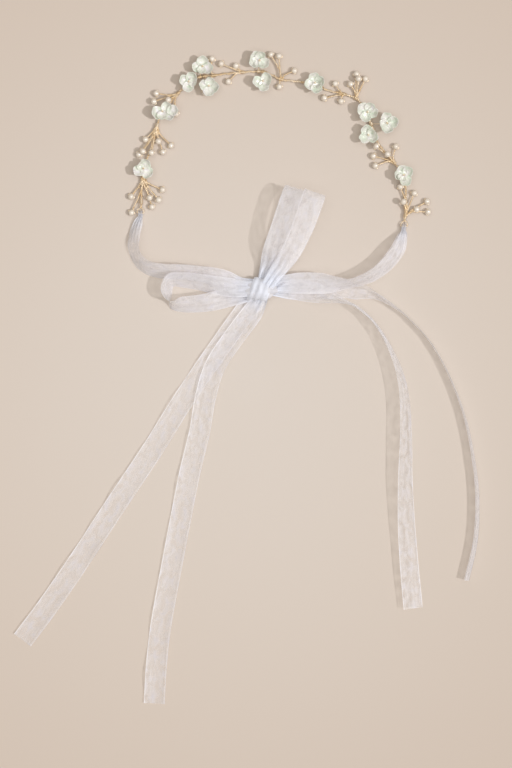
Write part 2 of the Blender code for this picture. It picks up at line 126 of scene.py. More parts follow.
def smoothRoute(points, step, length=None):
    # a smooth curve through rows of numbers, whose first three are a place
    rows = np.array(points, float)
    rows = np.vstack([2 * rows[0] - rows[1], rows, 2 * rows[-1] - rows[-2]])
    fine = []
    for a, b, c, d in zip(rows, rows[1:], rows[2:], rows[3:]):
        for t in np.arange(0, 1, 0.04):
            fine.append(0.5 * (2 * b + (c - a) * t + (2 * a - 5 * b + 4 * c - d) * t**2
                               + (3 * b - a - 3 * c + d) * t**3))
    fine.append(rows[-2])
    return evenSteps(np.array(fine), step, length)


def headings(rows):
    return np.array([unit(v) for v in np.gradient(rows[:, :3], axis=0)])


def roundAbout(rows):
    # two directions square to the route at each point
    ahead = headings(rows)
    frames = []
    for h in ahead:
        reference = up if abs(h[2]) < 0.9 else np.array((1.0, 0.0, 0.0))
        side = unit(np.cross(reference, h))
        frames.append((side, np.cross(h, side)))
    return frames


def coil(rows, radius, pitch, phase=0.0, wander=0.0, seed=0.0):
    # one wire that winds round a route
    along = routeLengths(rows)
    points = []
    for place, s, (side, top) in zip(rows[:, :3], along, roundAbout(rows)):
        r = radius + wander * noise.noise(Vector((s * 0.31, seed, 0.5)))
        a = 2 * math.pi * (s / pitch) + phase
        points.append(place + (math.cos(a) * side + math.sin(a) * top) * r)
    return points


def wireMesh(name, wires, surface, body, nodes=(), closed=()):
    # wires: (points, radius) pairs, skinned as round wire and kept as one mesh
    curve = bpy.data.curves.new(name, "CURVE")
    curve.dimensions = "3D"
    curve.bevel_depth = 1.0
    curve.bevel_resolution = 1
    curve.use_fill_caps = True
    for number, (points, radius) in enumerate(wires):
        spline = curve.splines.new("POLY")
        spline.points.add(len(points) - 1)
        spline.use_cyclic_u = number in closed
        for point, place in zip(spline.points, points):
            point.co = (place[0], place[1], place[2], 1)
            point.radius = radius
    holder = bpy.data.objects.new(name + "Curve", curve)
    scene.collection.objects.link(holder)
    bpy.context.view_layer.update()
    bm = bmesh.new()
    bm.from_mesh(holder.to_mesh())
    bmesh.ops.remove_doubles(bm, verts=bm.verts, dist=0.001)
    bpy.data.objects.remove(holder)
    bpy.data.curves.remove(curve)
    return finishPiece(name, bm, surface, body, nodes)


# camera, light and floor

cameraPlan = {"centre": (4.65, -4.65), "height": 1322.8, "lens": 100.0, "sensor": 36.0}
camera = bpy.data.objects.new("overheadCamera", bpy.data.cameras.new("overheadCamera"))
camera.data.lens = cameraPlan["lens"]
camera.data.sensor_width = cameraPlan["sensor"]
camera.data.clip_end = 20
camera.location = (cameraPlan["centre"][0] * mm, cameraPlan["centre"][1] * mm, cameraPlan["height"] * mm)
scene.collection.objects.link(camera)
scene.camera = camera
scene.view_settings.view_transform = "Standard"

lightPlan = {"sunFrom": (0.97, -0.243), "sunHeight": 52, "sunStrength": 1.62, "sunSize": 2.2,
             "roomStrength": 0.37, "panel": 2.4, "panelHeight": 2.4, "panelPower": 25.0}
sun = bpy.data.objects.new("keyLight", bpy.data.lights.new("keyLight", "SUN"))
sun.data.energy = lightPlan["sunStrength"]
sun.data.angle = math.radians(lightPlan["sunSize"])
sun.data.color = hexColour("FAFBFF")[:3]
lift = math.radians(lightPlan["sunHeight"])
sunTowards = Vector((math.cos(lift) * lightPlan["sunFrom"][0], math.cos(lift) * lightPlan["sunFrom"][1],
                     math.sin(lift)))
sun.rotation_euler = sunTowards.to_track_quat("Z", "Y").to_euler()
sun.location = sunTowards * 2
scene.collection.objects.link(sun)

panel = bpy.data.objects.new("ceilingPanel", bpy.data.lights.new("ceilingPanel", "AREA"))
panel.data.shape = "SQUARE"
panel.data.size = lightPlan["panel"]
panel.data.energy = lightPlan["panelPower"]
panel.location = (0, 0, lightPlan["panelHeight"])
scene.collection.objects.link(panel)

room = bpy.data.worlds.new("studioRoom")
room.use_nodes = True
room.node_tree.nodes["Background"].inputs["Color"].default_value = hexColour("FBF3EA")
room.node_tree.nodes["Background"].inputs["Strength"].default_value = lightPlan["roomStrength"]
scene.world = room

floorPlan = {"side": 8.0, "centre": "D7CDC3", "middle": "D4C8BC", "edge": "CBBCAE", "reach": 0.4}
floorSurface, tree, shader = newSurface("paintedStudioBoard")
# emulsion-painted board: quite matt, with a faint roller texture; it is paler in the middle than towards its edges, a
# painted pool of light that falls off away from the middle
coords = addNode(tree, "ShaderNodeTexCoord")
spread = addNode(tree, "ShaderNodeMapping", {"vector_type": "POINT"}, {"Vector": coords.outputs["Object"],
                 "Scale": (1 / floorPlan["reach"],) * 3})
# painted pool of light: the floor's tone made paler towards the middle, out to a reach of 0.4 m
paintedLightPool = addNode(tree, "ShaderNodeTexGradient", {"gradient_type": "SPHERICAL"}, {"Vector": spread.outputs["Vector"]})
paintedLightFalloff = addNode(tree, "ShaderNodeValToRGB", None, {"Fac": paintedLightPool.outputs["Fac"]})
paintedLightFalloff.color_ramp.interpolation = "B_SPLINE"
tone = rampStops(paintedLightFalloff, [(0.0, hexColour(floorPlan["edge"])), (0.25, hexColour(floorPlan["edge"])),
                        (0.62, hexColour(floorPlan["middle"])), (0.95, hexColour(floorPlan["centre"]))])
grain = addNode(tree, "ShaderNodeTexNoise", None, {"Vector": coords.outputs["Object"], "Scale": 900.0, "Detail": 3.0})
bump = addNode(tree, "ShaderNodeBump", None, {"Height": grain.outputs["Fac"], "Strength": 0.04, "Distance": 0.0002})
tree.links.new(tone, shader.inputs["Base Color"])
tree.links.new(bump.outputs["Normal"], shader.inputs["Normal"])
shader.inputs["Roughness"].default_value = 0.85
shader.inputs["Specular IOR Level"].default_value = 0.2
bm = bmesh.new()
bmesh.ops.create_grid(bm, x_segments=1, y_segments=1, size=floorPlan["side"] / 2)
floorMesh = bpy.data.meshes.new("studioFloor")
bm.to_mesh(floorMesh)
bm.free()
floorMesh.materials.append(floorSurface)
floor = bpy.data.objects.new("studioFloor", floorMesh)
scene.collection.objects.link(floor)
print("stage: camera, lights and floor")


# surfaces

# drawn and twisted brass wire with a champagne gold plating: soft metal glints, slightly uneven colour
goldWire, tree, shader = newSurface("champagneGoldWire")
coords = addNode(tree, "ShaderNodeTexCoord")
patches = addNode(tree, "ShaderNodeTexNoise", None, {"Vector": coords.outputs["Object"], "Scale": 260.0,
                  "Detail": 3.0})
tone = rampStops(addNode(tree, "ShaderNodeValToRGB", None, {"Fac": patches.outputs["Fac"]}),
                 [(0.3, hexColour("F0D8B0")), (0.5, hexColour("FAE8CB")), (0.72, hexColour("FFF4E2"))])
wear = addNode(tree, "ShaderNodeMapRange", None, {"Value": patches.outputs["Fac"], "To Min": 0.36, "To Max": 0.54})
drawn = addNode(tree, "ShaderNodeTexNoise", None, {"Vector": coords.outputs["Object"], "Scale": 4000.0})
bump = addNode(tree, "ShaderNodeBump", None, {"Height": drawn.outputs["Fac"], "Strength": 0.15, "Distance": 0.00005})
tree.links.new(tone, shader.inputs["Base Color"])
tree.links.new(wear.outputs["Result"], shader.inputs["Roughness"])
tree.links.new(bump.outputs["Normal"], shader.inputs["Normal"])
shader.inputs["Metallic"].default_value = 1.0

# glass pearl: cream lacquer with a soft deep lustre; the greyer, pinker tone towards its outline is painted shade
pearlLustre, tree, shader = newSurface("creamGlassPearl")
coords = addNode(tree, "ShaderNodeTexCoord")
facing = addNode(tree, "ShaderNodeLayerWeight", None, {"Blend": 0.35})
cloud = addNode(tree, "ShaderNodeTexNoise", None, {"Vector": coords.outputs["Object"], "Scale": 420.0, "Detail": 2.0})
warm = rampStops(addNode(tree, "ShaderNodeValToRGB", None, {"Fac": cloud.outputs["Fac"]}),
                 [(0.35, hexColour("E2D5C4")), (0.65, hexColour("EDE4D6"))])
# painted shade: the pearl's colour turns greyer and darker towards its outline
rim = addNode(tree, "ShaderNodeMix", {"data_type": "RGBA"}, {"Factor": facing.outputs["Facing"], 6: warm,
              7: hexColour("C9BAA6")})
tree.links.new(rim.outputs[2], shader.inputs["Base Color"])
gloss = addNode(tree, "ShaderNodeMapRange", None, {"Value": cloud.outputs["Fac"], "To Min": 0.22, "To Max": 0.3})
tree.links.new(gloss.outputs["Result"], shader.inputs["Roughness"])
shader.inputs["IOR"].default_value = 1.65
shader.inputs["Coat Weight"].default_value = 1.0
shader.inputs["Coat IOR"].default_value = 1.6
shader.inputs["Coat Roughness"].default_value = 0.11

# pressed shell petal: milky nacre in random patches of mint, cream, pink and lavender, fine growth ridges; it is greyer
# where it turns away from view, which is painted shade at its outline
shellPetal, tree, shader = newSurface("pressedShellPetal")
coords = addNode(tree, "ShaderNodeTexCoord")
facing = addNode(tree, "ShaderNodeLayerWeight", None, {"Blend": 0.45})
drift = addNode(tree, "ShaderNodeTexNoise", None, {"Vector": coords.outputs["Object"], "Scale": 260.0, "Detail": 4.0,
                "Distortion": 0.8})
nacre = rampStops(addNode(tree, "ShaderNodeValToRGB", None, {"Fac": drift.outputs["Fac"]}),
                  [(0.28, hexColour("CEDFC9")), (0.42, hexColour("E0E7D6")), (0.55, hexColour("F0EFE5")),
                   (0.67, hexColour("ECE6E8")), (0.8, hexColour("D5E4DD"))])
# painted shade: the petal turns greyer where it faces away from view
turned = addNode(tree, "ShaderNodeMix", {"data_type": "RGBA"}, {"Factor": facing.outputs["Facing"], 6: nacre,
                 7: hexColour("DDDDD1")})
tree.links.new(turned.outputs[2], shader.inputs["Base Color"])
ridges = addNode(tree, "ShaderNodeTexWave", {"wave_type": "BANDS", "bands_direction": "DIAGONAL"},
                 {"Vector": coords.outputs["Object"], "Scale": 300.0, "Distortion": 5.0, "Detail": 2.0})
bump = addNode(tree, "ShaderNodeBump", None, {"Height": ridges.outputs["Fac"], "Strength": 0.5,
               "Distance": 0.00015})
tree.links.new(bump.outputs["Normal"], shader.inputs["Normal"])
gloss = addNode(tree, "ShaderNodeMapRange", None, {"Value": drift.outputs["Fac"], "To Min": 0.12, "To Max": 0.34})
tree.links.new(gloss.outputs["Result"], shader.inputs["Roughness"])
shader.inputs["IOR"].default_value = 1.56
shader.inputs["Coat Weight"].default_value = 0.8
shader.inputs["Coat Roughness"].default_value = 0.06
shader.inputs["Subsurface Weight"].default_value = 0.15
shader.inputs["Subsurface Radius"].default_value = (1.0, 1.0, 1.0)
shader.inputs["Subsurface Scale"].default_value = 0.0008


def organzaSurface(name, cover, selvedge, cloudy, sheen):
    # woven sheer nylon organza: see-through between its threads, closer along both woven edges,
    # with a cool white sheen and smoky patches where the threads crowd
    made, tree, shader = newSurface(name)
    flat = addNode(tree, "ShaderNodeUVMap", {"uv_map": "ribbonUv"})      # x across from 0 to 1, y along in widths
    parts = addNode(tree, "ShaderNodeSeparateXYZ", None, {"Vector": flat.outputs["UV"]})
    middle = addNode(tree, "ShaderNodeMath", {"operation": "SUBTRACT"}, {0: parts.outputs["X"], 1: 0.5})
    fromMiddle = addNode(tree, "ShaderNodeMath", {"operation": "ABSOLUTE"}, {0: middle.outputs[0]})
    edge = addNode(tree, "ShaderNodeMapRange", {"interpolation_type": "SMOOTHSTEP"}, {"Value": fromMiddle.outputs[0],
                   "From Min": 0.445, "From Max": 0.475, "To Min": 0.0, "To Max": selvedge})
    # smoky patches, 3 to 8 mm long, and soft streaks along the ribbon where it was folded on its spool
    stretch = addNode(tree, "ShaderNodeMapping", None, {"Vector": flat.outputs["UV"], "Scale": (2.2, 1.3, 1.0)})
    smoke = addNode(tree, "ShaderNodeTexNoise", None, {"Vector": stretch.outputs["Vector"], "Scale": 1.7,
                    "Detail": 2.0, "Roughness": 0.45, "Distortion": 0.4})
    smokeCover = addNode(tree, "ShaderNodeMapRange", None, {"Value": smoke.outputs["Fac"], "From Min": 0.3,
                         "From Max": 0.7, "To Min": -cloudy, "To Max": cloudy})
    draw = addNode(tree, "ShaderNodeMapping", None, {"Vector": flat.outputs["UV"], "Scale": (2.4, 0.2, 1.0)})
    streaks = addNode(tree, "ShaderNodeTexNoise", None, {"Vector": draw.outputs["Vector"], "Scale": 2.0,
                      "Detail": 1.0})
    streakCover = addNode(tree, "ShaderNodeMapRange", None, {"Value": streaks.outputs["Fac"], "From Min": 0.35,
                          "From Max": 0.65, "To Min": -0.03, "To Max": 0.04})
    # threads are 0.1 mm apart in the real cloth, drawn here at 1.3 to 1.6 mm so that they show
    warp = addNode(tree, "ShaderNodeTexWave", {"wave_type": "BANDS", "bands_direction": "X"},
                   {"Vector": flat.outputs["UV"], "Scale": 2.5, "Distortion": 0.3})
    weft = addNode(tree, "ShaderNodeTexWave", {"wave_type": "BANDS", "bands_direction": "Y"},
                   {"Vector": flat.outputs["UV"], "Scale": 3.2, "Distortion": 0.3})
    threads = addNode(tree, "ShaderNodeMath", {"operation": "MULTIPLY"}, {0: warp.outputs["Fac"],
                      1: weft.outputs["Fac"]})
    weave = addNode(tree, "ShaderNodeMapRange", None, {"Value": threads.outputs[0], "To Min": -0.008, "To Max": 0.012})
    crowd = addNode(tree, "ShaderNodeAttribute", {"attribute_name": "crowding"})
    cloth = cover
    for part in (edge.outputs["Result"], smokeCover.outputs["Result"], streakCover.outputs["Result"],
                 weave.outputs["Result"], crowd.outputs["Fac"]):
        cloth = addNode(tree, "ShaderNodeMath", {"operation": "ADD", "use_clamp": True}, {0: cloth, 1: part}).outputs[0]
    tree.links.new(cloth, shader.inputs["Alpha"])
    tone = rampStops(addNode(tree, "ShaderNodeValToRGB", None, {"Fac": smoke.outputs["Fac"]}),
                     [(0.3, hexColour("F3F1F6")), (0.5, hexColour("FAF8FA")), (0.7, hexColour("EFEDF4"))])
    packed = addNode(tree, "ShaderNodeMapRange", None, {"Value": crowd.outputs["Fac"], "From Min": 0.05,
                     "From Max": 0.4})
    cooler = addNode(tree, "ShaderNodeMix", {"data_type": "RGBA"}, {"Factor": packed.outputs["Result"], 6: tone,
                     7: hexColour("EDF1FB")})
    tree.links.new(cooler.outputs[2], shader.inputs["Base Color"])
    bump = addNode(tree, "ShaderNodeBump", None, {"Height": threads.outputs[0], "Strength": 0.2, "Distance": 0.00002})
    tree.links.new(bump.outputs["Normal"], shader.inputs["Normal"])
    shader.inputs["Roughness"].default_value = 0.45
    shader.inputs["IOR"].default_value = 1.5
    shader.inputs["Sheen Weight"].default_value = sheen
    shader.inputs["Sheen Roughness"].default_value = 0.4
    return made


organza = organzaSurface("sheerOrganza", 0.3, 0.24, 0.17, 0.35)
organzaLoose = organzaSurface("looseOrganza", 0.36, 0.07, 0.13, 0.6)    # stands on its edge, catches more sheen
organzaFull = organzaSurface("fullOrganza", 0.36, 0.14, 0.14, 0.35)     # where the weave crowds as it curls
organzaKnot = organzaSurface("tightOrganza", 0.62, 0.05, 0.1, 0.5)
print("stage: surfaces")


# the vine: core wire, wraps and eyelets

vinePlan = {"height": 2.0, "strand": 0.29, "twist": 0.31, "pitch": 2.5, "wander": 0.1, "looseStrand": 0.2,
            "looseTwist": 0.64, "loosePitch": 5.2, "looseWander": 0.18}
vineRoute = [
    ("leftEnd", -66.6, 104.8), ("leftEndWrap", -66.4, 108.4), ("spray01", -65.6, 124.0),
    ("flower01", -64.9, 128.9), ("", -60.6, 141.0), ("spray02", -56.7, 155.3), ("flower02", -53.0, 163.8),
    ("spray03", -43.9, 175.0), ("", -37.5, 181.0), ("clusterA", -30.0, 185.4), ("spray04", -21.5, 186.4),
    ("", -14.6, 187.4), ("spray05", -3.5, 188.4), ("clusterB", 7.9, 188.8), ("", 14.6, 186.6),
    ("spray06", 20.4, 183.9), ("", 29.0, 182.8), ("flower08", 41.0, 181.0), ("", 48.6, 177.4),
    ("spray07", 59.0, 174.8), ("spray08", 66.6, 172.2), ("", 71.6, 166.0), ("clusterC", 76.0, 156.2),
    ("", 78.0, 148.6), ("", 82.0, 142.0), ("spray09", 90.2, 132.4), ("flower12", 96.2, 124.4),
    ("", 97.4, 115.0), ("rightEndWrap", 97.2, 105.0), ("spray10", 97.0, 99.4), ("rightEnd", 96.7, 96.6),
]
vine = smoothRoute([(x, y, vinePlan["height"]) for label, x, y in vineRoute], 0.3)
vineAlong = routeLengths(vine)
vinePlaces = {}
for label, x, y in vineRoute:
    if label:
        vinePlaces[label] = vineAlong[np.linalg.norm(vine[:, :2] - np.array((x, y)), axis=1).argmin()]


def onVine(distance):
    return np.array([np.interp(distance, vineAlong, vine[:, k]) for k in range(3)])


def stretchOfVine(first, last, step):
    return evenSteps(vine[(vineAlong >= first) & (vineAlong <= last)], step)


coreWires = []
for turn in (0, math.pi):
    points = coil(vine, vinePlan["twist"], vinePlan["pitch"], turn, vinePlan["wander"], seed=turn)
    coreWires.append((points, vinePlan["strand"]))
# a thinner wire winds loosely along the pair
coreWires.append((coil(vine, vinePlan["looseTwist"], vinePlan["loosePitch"], 1.0, vinePlan["looseWander"], seed=5.0),
                  vinePlan["looseStrand"]))
eyeletPlan = {"reach": 3.6, "half": 2.1, "strand": 0.204, "twist": 0.2, "turns": 9, "step": 0.3}
eyelets = []                        # each one's bar, which the ribbon goes round, and the direction away from the vine
for tip, behind in ((vine[0], vine[2]), (vine[-1], vine[-3])):
    outward = unit(tip - behind)
    eyelets.append((tip + outward * eyeletPlan["reach"], outward))
hingeLine = unit(eyelets[1][0] - eyelets[0][0])
closedWires = []
for bar, outward in eyelets:
    half = eyeletPlan["half"]
    outline = [(-half, 0.25), (-0.5 * half, 0.0), (0, 0), (0.5 * half, 0.0), (half, 0.25), (half, 1.1),
               (0.8 * half, 2.1), (0.35 * half, 3.2), (-0.35 * half, 3.2), (-0.8 * half, 2.1), (-half, 1.1)]
    rows = np.array([bar + hingeLine * v - outward * u for v, u in outline + outline[:1]])
    ring = evenSteps(rows, eyeletPlan["step"])[:-1]
    for phase in (0, math.pi):
        closedWires.append(len(coreWires))
        coreWires.append((coil(ring, eyeletPlan["twist"], routeLengths(ring)[-1] / eyeletPlan["turns"], phase),
                          eyeletPlan["strand"]))
wireMesh("twistedCoreWire", coreWires, goldWire, "vine", ["core_wire"], closed=closedWires)


windingPlan = {"step": 0.07, "pitch": 2.3, "wander": 0.08, "strand": 0.21, "endLength": 3.2, "endRadius": 0.9,
               "endStrand": 0.24}


def windings(distance, length, seed, radius, strand=windingPlan["strand"]):
    # a few close turns of wire round the core
    rows = stretchOfVine(distance - length / 2, distance + length / 2, windingPlan["step"])
    return (coil(rows, radius, windingPlan["pitch"] * strand, seed, windingPlan["wander"], seed), strand)


for name, place in (("left_end_wrap", "leftEndWrap"), ("right_end_wrap", "rightEndWrap")):
    turns = windings(vinePlaces[place], windingPlan["endLength"], 1.0, windingPlan["endRadius"],
                     windingPlan["endStrand"])
    wireMesh(place, [turns], goldWire, "vine", [name])
print("stage: core wire")


# pearl sprays

# from each spray's own place on the vine to its pearls: along X, along Y, then height over the surface
sprays = {
    "01": [(-7.1, -12.6, 2.0), (-6.8, -22.6, 2.0), (4.4, -13.4, 2.4), (12.4, -8.5, 2.0), (10.0, -14.7, 3.2),
           (5.8, -19.0, 2.0)],
    "02": [(-7.1, -8.7, 2.4), (1.0, -9.9, 3.8), (8.7, -12.4, 2.0), (3.6, -16.4, 2.0), (-3.2, -17.2, 5.4),
           (-11.2, -18.0, 2.0), (-8.6, -16.2, 4.6)],
    "03": [(-13.3, 0.2, 2.0), (-14.6, -5.0, 3.6), (-5.6, -4.2, 5.4), (-0.9, -12.6, 2.0)],
    "04": [(-1.1, 10.2, 2.0), (-5.5, -10.8, 2.0)],
    "05": [(-4.2, 3.9, 2.2), (-8.9, -5.8, 2.0), (-13.4, 5.2, 2.0)],
    "06": [(-6.5, 15.4, 2.0), (-1.4, 14.2, 3.4), (8.2, 5.4, 2.2), (-1.2, -4.6, 2.0)],
    "07": [(-12.2, -2.4, 2.0), (-5.4, 6.5, 2.0), (-1.8, -4.4, 2.2)],
    "08": [(0.1, 15.1, 2.0), (1.3, 11.9, 4.8), (5.7, 12.1, 2.0), (-3.6, 8.9, 2.6)],
    "09": [(-11.2, 9.8, 4.6), (-12.9, 4.0, 2.0), (-11.6, -2.0, 2.0), (-4.2, 4.8, 5.6), (1.0, 9.9, 2.0)],
    "10": [(-3.0, 18.2, 2.0), (-1.3, 8.6, 5.4), (5.6, 14.2, 2.0), (7.1, 4.2, 2.4), (13.6, 9.0, 2.0),
           (14.3, 2.6, 2.0)],
}
sprayPlan = {"pearl": 2.0, "strand": 0.27, "twist": 0.26, "pitch": 1.8, "bend": 0.9, "windLength": 2.6,
             "windRadius": 1.0, "looseStrand": 0.2, "looseTwist": 0.55, "loosePitch": 3.4, "fork": 1.9}
dice = random.Random(7)
for number, pearls in sprays.items():
    distance = vinePlaces["spray" + number]
    place = onVine(distance)
    offsets = np.array([(x, y, 0) for x, y, z in pearls])
    together = unit(offsets.mean(axis=0)) if np.linalg.norm(offsets.mean(axis=0)) > 3 else None
    wires = [windings(distance, sprayPlan["windLength"], 0.5 + int(number), sprayPlan["windRadius"])]
    beads = bmesh.new()
    for x, y, z in pearls:
        pearl = np.array((place[0] + x, place[1] + y, z))
        out = pearl - place
        start = place + unit(out) * 0.6
        reach = np.linalg.norm(out)
        sideways = unit(np.cross(up, out))
        first = start + unit(out) * reach * 0.35 + sideways * dice.uniform(-1, 1) * sprayPlan["bend"]
        if together is not None:
            first = 0.6 * first + 0.4 * (start + together * reach * 0.35)
        first[2] = max(1.0, place[2] + 0.3 * (z - place[2]) + dice.uniform(-0.2, 0.7))
        last = pearl - unit(pearl - first) * sprayPlan["fork"]
        stem = smoothRoute([start, first, last], 0.18)
        for phase in (0, math.pi):
            wires.append((coil(stem, sprayPlan["twist"], sprayPlan["pitch"], phase), sprayPlan["strand"]))
        # the wire's loose end comes part of the way up the stem again
        lower = stem[:int(len(stem) * dice.uniform(0.45, 0.7))]
        wires.append((coil(lower, sprayPlan["looseTwist"], sprayPlan["loosePitch"], dice.uniform(0, 6)),
                      sprayPlan["looseStrand"]))
        # the wire splits under the pearl and goes in at its two sides
        reachAhead = unit(pearl - last)
        aside = unit(np.cross(reachAhead, up))
        for hand in (-1, 1):
            split = [last, last + reachAhead * 0.55 + aside * hand * 1.25, pearl - reachAhead * 0.5
                     + aside * hand * 2.05, pearl + reachAhead * 0.15 + aside * hand * 1.9]
            wires.append((smoothRoute(split, 0.3), sprayPlan["strand"]))
        made = bmesh.ops.create_uvsphere(beads, u_segments=20, v_segments=12, radius=sprayPlan["pearl"])
        turn = Matrix.Rotation(math.atan2(aside[1], aside[0]), 4, "Z") @ Matrix.Rotation(math.pi / 2, 4, "Y")
        bmesh.ops.transform(beads, matrix=Matrix.Translation(Vector(pearl)) @ turn, verts=made["verts"])
    wireMesh("sprayWires" + number, wires, goldWire, "vine", ["pearl_spray_" + number])
    finishPiece("sprayPearls" + number, beads, pearlLustre, "vine", ["pearl_spray_" + number])
print("stage: pearl sprays")


# flowers

# each petal: bearing in degrees, distance of its middle from the flower's, half width, and its lean in degrees
flowers = {
    "01": [(68, 2.9, 3.0, 26), (202, 3.0, 3.0, 20), (315, 3.1, 3.2, 16), (130, 2.2, 2.4, 34)],
    "02": [(191, 3.0, 3.5, 26), (45, 3.4, 3.0, 22), (333, 4.2, 3.0, 12), (262, 2.6, 2.6, 26), (5, 5.6, 2.9, 8)],
    "03": [(162, 2.9, 2.9, 24), (263, 3.1, 3.0, 16), (56, 3.0, 3.0, 24), (350, 2.5, 2.4, 26)],
    "04": [(90, 3.0, 3.0, 22), (187, 3.1, 2.9, 18), (339, 3.1, 3.0, 16), (255, 2.4, 2.4, 28)],
    "05": [(344, 3.0, 3.0, 20), (170, 2.9, 2.8, 24), (268, 3.0, 3.0, 16), (75, 2.6, 2.6, 26)],
    "06": [(132, 3.1, 3.0, 22), (78, 2.9, 2.7, 28), (197, 3.2, 2.8, 16), (330, 3.1, 2.9, 18), (262, 2.4, 2.5, 30)],
    "07": [(184, 3.0, 3.0, 20), (42, 2.9, 2.9, 26), (278, 3.1, 3.0, 16), (340, 2.6, 2.5, 28)],
    "08": [(100, 3.0, 3.0, 24), (20, 2.9, 2.8, 22), (196, 3.0, 3.0, 18), (288, 3.2, 3.0, 14), (330, 2.3, 2.3, 32)],
    "09": [(146, 3.0, 3.5, 24), (60, 3.0, 2.8, 22), (355, 3.1, 2.9, 16), (247, 3.1, 3.0, 18)],
    "10": [(95, 3.1, 3.0, 18), (10, 3.2, 3.1, 14), (275, 3.0, 3.0, 20), (190, 2.4, 2.5, 26)],
    "11": [(112, 2.9, 3.1, 24), (217, 3.0, 2.9, 18), (333, 3.0, 2.9, 18), (30, 2.3, 2.4, 30)],
    "12": [(110, 3.0, 3.0, 24), (40, 3.0, 2.9, 20), (180, 2.9, 2.7, 22), (288, 3.2, 3.1, 14), (235, 2.3, 2.4, 30)],
}
petalPlan = {"wall": 0.26, "cup": 2.1, "curl": 0.9, "ridge": 0.1, "ridges": 9.0, "squares": 10, "larger": 1.2,
             "wider": 1.13, "foot": 0.42, "rim": 0.82, "roll": 0.5, "ragged": 0.05, "raised": 0.55}
flowerPlan = {"height": 3.9, "innerRaised": 0.35, "each": 0.12, "windLength": 2.2, "windRadius": 1.0, "stemTwist": 0.15,
              "stemPitch": 1.4, "stemStrand": 0.16, "loopRadius": 0.5, "loopStrand": 0.17, "stemTop": 5.6}


def growPetal(bm, centre, bearing, reach, half, lean, seed):
    reach, half = reach * petalPlan["wider"], half * petalPlan["larger"]
    made = bmesh.ops.create_grid(bm, x_segments=petalPlan["squares"], y_segments=petalPlan["squares"], size=1)
    turn = Matrix.Rotation(math.radians(bearing), 4, "Z")
    for vert in made["verts"]:
        u, v = vert.co.x, vert.co.y
        x, y = u * math.sqrt(1 - v * v / 2), v * math.sqrt(1 - u * u / 2)       # the square made round
        r = math.hypot(x, y)
        wave = noise.noise(Vector((x * 1.3, y * 1.3, seed)))
        narrow = 1 - petalPlan["foot"] * max(0, -x) ** 1.5                      # narrower towards its foot
        height = petalPlan["cup"] * r * r * (0.75 + 0.35 * max(0, x)) + petalPlan["curl"] * wave * r
        height += petalPlan["ridge"] * math.sin(petalPlan["ridges"] * y * math.pi / 2 + 2 * wave) * r
        height -= petalPlan["roll"] * max(0, r - petalPlan["rim"]) * (3 if x > 0 else 1)
        ragged = 1 + petalPlan["ragged"] * math.sin(5 * math.atan2(y, x) + seed) * r
        vert.co = Vector((x * half * 1.06 * ragged, y * half * narrow * ragged, height))
    tilt = Matrix.Rotation(-math.radians(lean), 4, "Y")
    outward = Matrix.Translation(Vector((reach, 0, petalPlan["raised"])))
    place = Matrix.Translation(Vector(centre)) @ turn @ outward @ tilt
    bmesh.ops.transform(bm, matrix=place, verts=made["verts"])
    faces = list(dict.fromkeys(face for vert in made["verts"] for face in vert.link_faces))
    bmesh.ops.solidify(bm, geom=faces, thickness=petalPlan["wall"])


flowerHomes = {"01": "flower01", "02": "flower02", "08": "flower08", "12": "flower12"}
for group, names in (("clusterA", ("03", "04", "05")), ("clusterB", ("06", "07")), ("clusterC", ("09", "10", "11"))):
    for name in names:
        flowerHomes[name] = group
homeShift = {"03": -3.2, "05": 3.2, "06": -1.6, "07": 1.6, "09": -3.2, "11": 3.2}
for number, petals in flowers.items():
    low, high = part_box("flower_" + number)
    centre = ((low[0] + high[0]) / 2 / mm, (low[1] + high[1]) / 2 / mm, flowerPlan["height"])
    bm = bmesh.new()
    for k, (bearing, reach, half, lean) in enumerate(petals):
        raised = 0.0 if k < 3 else flowerPlan["innerRaised"]
        growPetal(bm, (centre[0], centre[1], centre[2] + raised + flowerPlan["each"] * k), bearing, reach, half,
                  lean, int(number) * 3.7 + k * 1.9)
    bmesh.ops.recalc_face_normals(bm, faces=bm.faces)
    piece = finishPiece("shellFlower" + number, bm, shellPetal, "vine", ["flower_" + number])
    rounded = piece.modifiers.new("rounded", "SUBSURF")
    rounded.levels = rounded.render_levels = 1
    # its wire: wound on the core, up through the middle, ending in a tiny turned loop
    distance = vinePlaces[flowerHomes[number]] + homeShift.get(number, 0.0)
    place = onVine(distance)
    top = np.array((centre[0], centre[1], flowerPlan["stemTop"]))
    below = np.array((centre[0], centre[1], 3.4))
    stem = smoothRoute([place + up * 0.9, 0.5 * (place + up * 0.9 + below) + up * -0.2, below, top], 0.18)
    wires = [windings(distance, flowerPlan["windLength"], int(number) * 1.3, flowerPlan["windRadius"])]
    for phase in (0, math.pi):
        wires.append((coil(stem, flowerPlan["stemTwist"], flowerPlan["stemPitch"], phase), flowerPlan["stemStrand"]))
    r = flowerPlan["loopRadius"]
    loop = [top + np.array((r * math.cos(a), r * math.sin(a), 0.25 + 0.12 * a)) for a in np.arange(0, 9, 0.4)]
    wires.append((loop, flowerPlan["loopStrand"]))
    wireMesh("flowerWire" + number, wires, goldWire, "vine", ["flower_wire_" + number])
print("stage: flowers")


# ribbon

